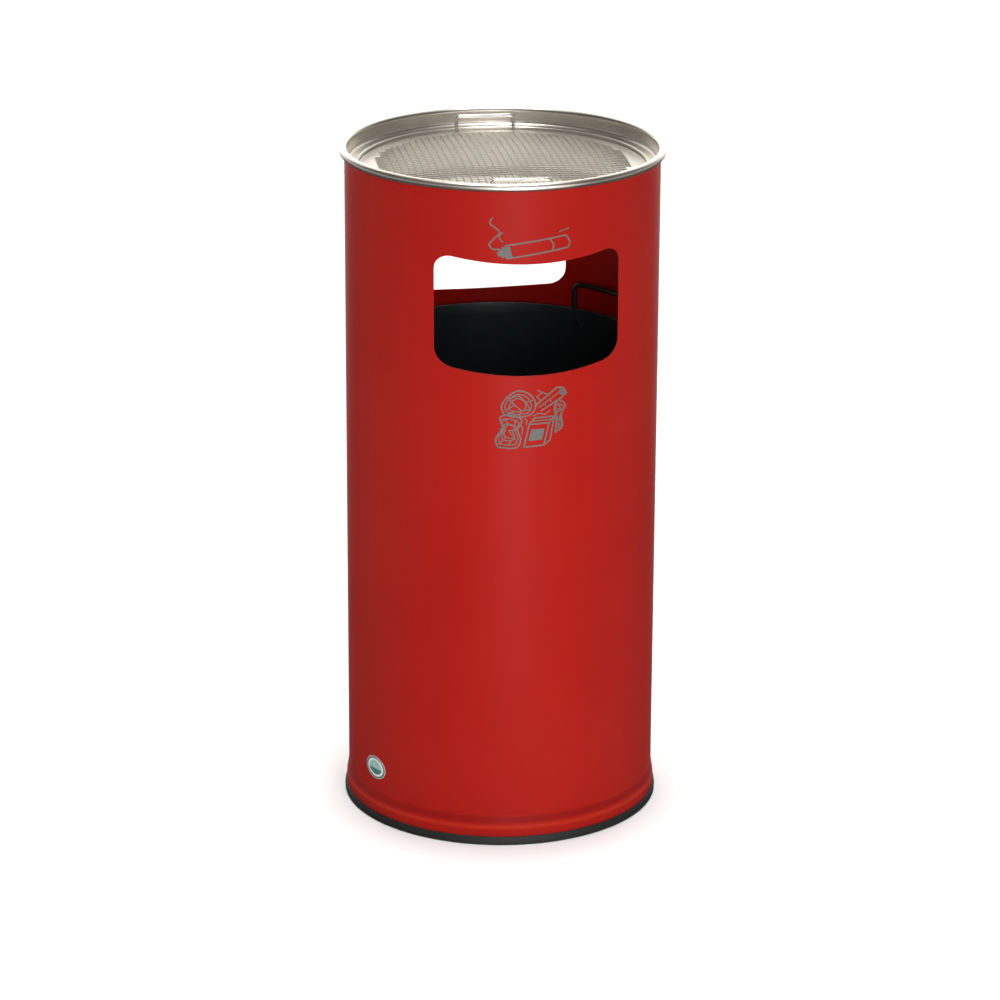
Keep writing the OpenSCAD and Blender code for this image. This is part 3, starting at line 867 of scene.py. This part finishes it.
# Pale ash dust below the seat, only where the bowl's own surface points upwards.
facing = stainless.root.node("ShaderNodeTexCoord", {}, {}, 1)
facing_up = stainless.root.node("ShaderNodeSeparateXYZ", {}, {0: facing}, 2)
dusty = (1 - stainless.axis(2).ease(SEAT_Z - 0.014, SEAT_Z - 0.004)) * facing_up.ease(0.15, 0.5)
bright_steel = (haze * 0.6 + spin_marks * 0.4).ease(0.3, 0.7).blend(
    (0.64, 0.60, 0.545), (0.78, 0.735, 0.67))
ash_dust = stainless.noise(45, 4, 0.6).ease(0.3, 0.7).blend((0.70, 0.66, 0.58), (0.84, 0.81, 0.75))
stainless.drive("Base Color", dusty.blend(bright_steel, ash_dust))
stainless.drive("Metallic", 1 - dusty)
stainless.drive("Roughness", spin_marks * 0.12 + haze * 0.1 + dusty * 0.5 + 0.2)
stainless.relief((spin_marks, 0.000006))
fit(bowl, "bowl", "stainless", stainless, "ashtray_bowl")


# ---------------------------------------------------------------------------------------------
# Sieve
# A disc of stainless sheet, punched all over with square holes and pressed into a shallow dome.
# Its plain border rests in the bowl's seat, and ash falls through it into the well.
SIEVE_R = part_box("sieve_disc")[1].y
SIEVE_LOW, SIEVE_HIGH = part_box("sieve_disc")[0].z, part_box("sieve_disc")[1].z
SIEVE_T = 0.0012
SIEVE_RISE = SIEVE_HIGH - SIEVE_LOW - SIEVE_T
SIEVE_TURN = -2.7
PITCH, HOLE = 0.0066, 0.0056
PUNCHED_R = 0.121
PUNCHED_T = 0.0005      # shown thinner than the real 1.2 mm, so that the well shows through
CELLS = 40

sieve_tree, made, given = geometry_tree("punched_disc", {
    "Pitch": "NodeSocketFloat", "Hole": "NodeSocketFloat", "Cells": "NodeSocketInt",
    "Punched Radius": "NodeSocketFloat", "Disc Radius": "NodeSocketFloat",
    "Rise": "NodeSocketFloat", "Turn": "NodeSocketFloat", "Metal": "NodeSocketMaterial"})


def from_axis():
    """Distance of each element from the sieve's axis."""
    spot = made.node("GeometryNodeInputPosition", {}, {})
    flat = made.node("ShaderNodeVectorMath", {"operation": "MULTIPLY"}, {0: spot, 1: (1, 1, 0)})
    return made.node("ShaderNodeVectorMath", {"operation": "LENGTH"}, {0: flat}, 1)


across = given["Pitch"] * given["Cells"]
field = made.node("GeometryNodeMeshGrid", {}, {"Size X": across, "Size Y": across,
                                               "Vertices X": given["Cells"] + 1,
                                               "Vertices Y": given["Cells"] + 1})
outside = made.maths("GREATER_THAN", from_axis(), given["Punched Radius"])
field = made.node("GeometryNodeDeleteGeometry", {"domain": "FACE"}, {"Geometry": field, "Selection": outside})
punch = field.tree.nodes.new("GeometryNodeExtrudeMesh")
field.tree.links.new(field.socket, punch.inputs["Mesh"])
punch.inputs["Offset Scale"].default_value = 0.0
punch.inputs["Individual"].default_value = True
slug = Wire(field.tree, punch.outputs["Top"])
shrunk = made.node("GeometryNodeScaleElements", {"domain": "FACE"}, {
    "Geometry": Wire(field.tree, punch.outputs["Mesh"]), "Selection": slug,
    "Scale": given["Hole"] / given["Pitch"]})
ribs = made.node("GeometryNodeDeleteGeometry", {"domain": "FACE"}, {"Geometry": shrunk, "Selection": slug})

one_sided = made.maths("LESS_THAN", made.node("GeometryNodeInputMeshEdgeNeighbors", {}, {}), 1.5)
stairs = made.node("GeometryNodeMeshToCurve", {}, {"Mesh": field, "Selection": one_sided})
rim = made.node("GeometryNodeCurvePrimitiveCircle", {}, {"Resolution": 240, "Radius": given["Disc Radius"]})
loops = made.node("GeometryNodeJoinGeometry", {}, {0: stairs})
loops.tree.links.new(rim.socket, loops.socket.node.inputs[0])
border = made.node("GeometryNodeFillCurve", {}, {"Curve": loops})
disc = made.node("GeometryNodeJoinGeometry", {}, {0: ribs})
disc.tree.links.new(border.socket, disc.socket.node.inputs[0])
disc = made.node("GeometryNodeMergeByDistance", {}, {"Geometry": disc, "Distance": 0.00002})
share = from_axis() / given["Disc Radius"]
lift = made.node("ShaderNodeCombineXYZ", {}, {2: given["Rise"] * (1 - share * share)})
domed = made.node("GeometryNodeSetPosition", {}, {"Geometry": disc, "Offset": lift})
spin = made.node("ShaderNodeCombineXYZ", {}, {2: given["Turn"]})
domed = made.node("GeometryNodeTransform", {}, {"Geometry": domed, "Rotation": spin})
end_tree(sieve_tree, domed, given["Metal"])

punched = Finish("punched_stainless")
sheet_cloud = punched.noise(30, 4, 0.6)
sheet_grain = punched.noise(1.0, 3, 0.6, punched.stretched(900, 40, 900))
clean = (sheet_cloud * 0.6 + sheet_grain * 0.4).ease(0.3, 0.7).blend(
    (0.62, 0.585, 0.53), (0.74, 0.70, 0.645))
# Painted shade: the ribs that run from front to back are painted darker, and less metallic, than the ones
# across, for the dark lines along them.
RIB_PAINTED_SHADE = 0.07, 0.068, 0.062
sieve_turn = math.radians(SIEVE_TURN)
turned_x = punched.axis(0) * math.cos(sieve_turn) + punched.axis(1) * math.sin(sieve_turn)
from_rib = punched.root.maths("PINGPONG", turned_x, PITCH / 2)
rib_painted_shade = (1 - from_rib.ease(0.0003, 0.00075)) * (
    1 - punched.radius().ease(PUNCHED_R - 0.006, PUNCHED_R + 0.004))
# Painted shade on the front-to-back ribs, in colour and in metallic.
punched.drive("Base Color", rib_painted_shade.blend(clean, RIB_PAINTED_SHADE))
punched.drive("Metallic", 1 - rib_painted_shade * 0.5)
punched.drive("Roughness", sheet_grain * 0.14 + sheet_cloud * 0.1 + 0.24)
punched.relief((sheet_grain, 0.000005))

sieve = grown("punched_sieve", [(0, 0, 0)], sieve_tree, {
    "Pitch": PITCH, "Hole": HOLE, "Cells": CELLS, "Punched Radius": PUNCHED_R, "Disc Radius": SIEVE_R,
    "Rise": SIEVE_RISE, "Turn": math.radians(SIEVE_TURN), "Metal": punched.material},
    thickness=PUNCHED_T)
sieve.data.transform(Matrix.Translation((0, 0, SIEVE_LOW + SIEVE_T)))
fit(sieve, "sieve", "sieve_stainless", punched, "sieve_disc")


# ---------------------------------------------------------------------------------------------
# Sieve handles
# Bright stainless wire, bent into two low bails and resistance welded to the sieve's border.
# They stand up, so that the sieve can be picked out with two fingertips of each hand.
WIRE_R = 0.00175
WIRE_BEND = 0.004
WIRE_HALF = 0.028
WIRE_Y = 0.126
WIRE_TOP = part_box("sieve_handle_front")[1].z - WIRE_R
WIRE_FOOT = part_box("sieve_handle_front")[0].z


def bail():
    """Points and faces of one wire bail, at the front of the sieve."""
    flat = rounded([(-WIRE_HALF, WIRE_FOOT, 0), (-WIRE_HALF, WIRE_TOP, WIRE_BEND),
                    (WIRE_HALF, WIRE_TOP, WIRE_BEND), (WIRE_HALF, WIRE_FOOT, 0)], 10)
    turn = np.linspace(0, 2 * math.pi, 24, endpoint=False)
    along = np.gradient(flat, axis=0)
    along /= np.linalg.norm(along, axis=1)[:, None]
    side = np.column_stack([-along[:, 1], along[:, 0]])
    rings = [np.column_stack([p[0] + s[0] * WIRE_R * np.cos(turn), -WIRE_Y + WIRE_R * np.sin(turn),
                              p[1] + s[1] * WIRE_R * np.cos(turn)]) for p, s in zip(flat, side)]
    n = len(turn)
    faces = [(i * n + j, i * n + (j + 1) % n, (i + 1) * n + (j + 1) % n, (i + 1) * n + j)
             for i in range(len(rings) - 1) for j in range(n)]
    faces += [tuple(range(n)), tuple((len(rings) - 1) * n + j for j in range(n))]
    return np.vstack(rings), faces


wire_steel = Finish("bright_wire", Metallic=1.0, Roughness=0.2)
wire_marks = wire_steel.noise(400, 3, 0.6)
wire_steel.drive("Base Color", wire_marks.blend((0.62, 0.60, 0.57), (0.80, 0.785, 0.76)))
wire_steel.drive("Roughness", wire_marks * 0.15 + 0.12)
wire_steel.relief((wire_marks, 0.000008))
bail_points, bail_faces = bail()
for handle_name, degrees in (("sieve_handle_front", SIEVE_TURN), ("sieve_handle_back", SIEVE_TURN + 180)):
    piece = make_piece(handle_name + "_wire", turned(bail_points, degrees), bail_faces)
    fit(piece, "sieve", "wire_stainless", wire_steel, handle_name)


# ---------------------------------------------------------------------------------------------
# Studio
# A plain white floor that reflections don't show, a soft overhead light, a key close in front that
# the camera doesn't see, surroundings that are brighter before and behind the bin, and the camera.
CAMERA_TURN = math.radians(-10.7)
CAMERA_BACK, CAMERA_SIDE, CAMERA_UP = 3.6855, -0.001, 1.5684
CAMERA_PITCH = math.radians(19.01)
CAMERA_ROLL = math.radians(0.26)
CAMERA_LENS = 144
KEY_POWER = 2.0
KEY_SIZE = 0.22, 0.85
TOP_LIGHT_STRENGTH = 3.05
TOP_LIGHT_ANGLE = math.radians(16)


def seen_from_camera(x, y, z):
    """A place given to the camera's right, ahead of it and up, round the bin's axis."""
    c, s = math.cos(CAMERA_TURN), math.sin(CAMERA_TURN)
    return Vector((c * x - s * y, s * x + c * y, z))


def plain_plane(name, size):
    mesh = bpy.data.meshes.new(name)
    h = size / 2
    mesh.from_pydata([(-h, -h, 0), (h, -h, 0), (h, h, 0), (-h, h, 0)], [], [(0, 1, 2, 3)])
    plane = bpy.data.objects.new(name, mesh)
    bpy.context.scene.collection.objects.link(plane)
    return plane


white = Finish("studio_floor", Roughness=0.9, Specular_IOR_Level=0.0)
white.drive("Base Color", white.noise(3, 2).blend((0.93, 0.93, 0.93), (0.95, 0.95, 0.95)))
ground = plain_plane("studio_floor", 40)
ground.data.materials.append(white.material)
ground.visible_glossy = False

sky = bpy.data.worlds.new("studio")
sky.use_nodes = True
around = Wire(sky.node_tree)
heading = around.node("ShaderNodeTexCoord", {}, {}, 0)
behind_bin = around.node("ShaderNodeVectorMath", {"operation": "DOT_PRODUCT"},
                         {0: heading, 1: seen_from_camera(0, 0.94, 0.34)}, 1)
before_bin = around.node("ShaderNodeVectorMath", {"operation": "DOT_PRODUCT"},
                         {0: heading, 1: seen_from_camera(0.28, -0.95, -0.12)}, 1)
height = around.node("ShaderNodeSeparateXYZ", {}, {0: heading}, 2)
horizon = 1 - around.maths("ABSOLUTE", height).ease(0.16, 0.28)
light_level = 0.08 + horizon * 0.35 + behind_bin.ease(0.66, 0.92) * 1.6 + before_bin.ease(0.7, 0.97) * 1.5
sky_shade = around.node("ShaderNodeBackground", {}, {0: (1.0, 0.975, 0.93, 1), 1: light_level})
sky.node_tree.links.new(sky_shade.socket, sky.node_tree.nodes["World Output"].inputs[0])
sky.node_tree.nodes.remove(sky.node_tree.nodes["Background"])
bpy.context.scene.world = sky


def softbox(name, at, aim, width, height, power):
    light = bpy.data.lights.new(name, "AREA")
    light.shape = "RECTANGLE"
    light.size, light.size_y = width, height
    light.energy = power
    lamp = bpy.data.objects.new(name, light)
    lamp.location = at
    lamp.rotation_mode = "QUATERNION"
    lamp.rotation_quaternion = (Vector(aim) - Vector(at)).to_track_quat("-Z", "Y")
    bpy.context.scene.collection.objects.link(lamp)
    return lamp


key = softbox("front_key", seen_from_camera(0.13, -0.76, 0.42), (0, 0, 0.38), *KEY_SIZE, KEY_POWER)
key.visible_camera = False

top_light = bpy.data.lights.new("top_light", "SUN")
top_light.energy = TOP_LIGHT_STRENGTH
top_light.angle = TOP_LIGHT_ANGLE
top_lamp = bpy.data.objects.new("top_light", top_light)
bpy.context.scene.collection.objects.link(top_lamp)

camera = bpy.data.objects.new("camera", bpy.data.cameras.new("camera"))
camera.data.sensor_width = 36
camera.data.lens = CAMERA_LENS
camera.location = seen_from_camera(CAMERA_SIDE, -CAMERA_BACK, CAMERA_UP)
sight = seen_from_camera(0, math.cos(CAMERA_PITCH), -math.sin(CAMERA_PITCH))
camera.rotation_mode = "QUATERNION"
camera.rotation_quaternion = sight.to_track_quat("-Z", "Y") @ Quaternion((0, 0, 1), CAMERA_ROLL)
bpy.context.scene.collection.objects.link(camera)
bpy.context.scene.camera = camera
bpy.context.scene.view_settings.view_transform = "Standard"
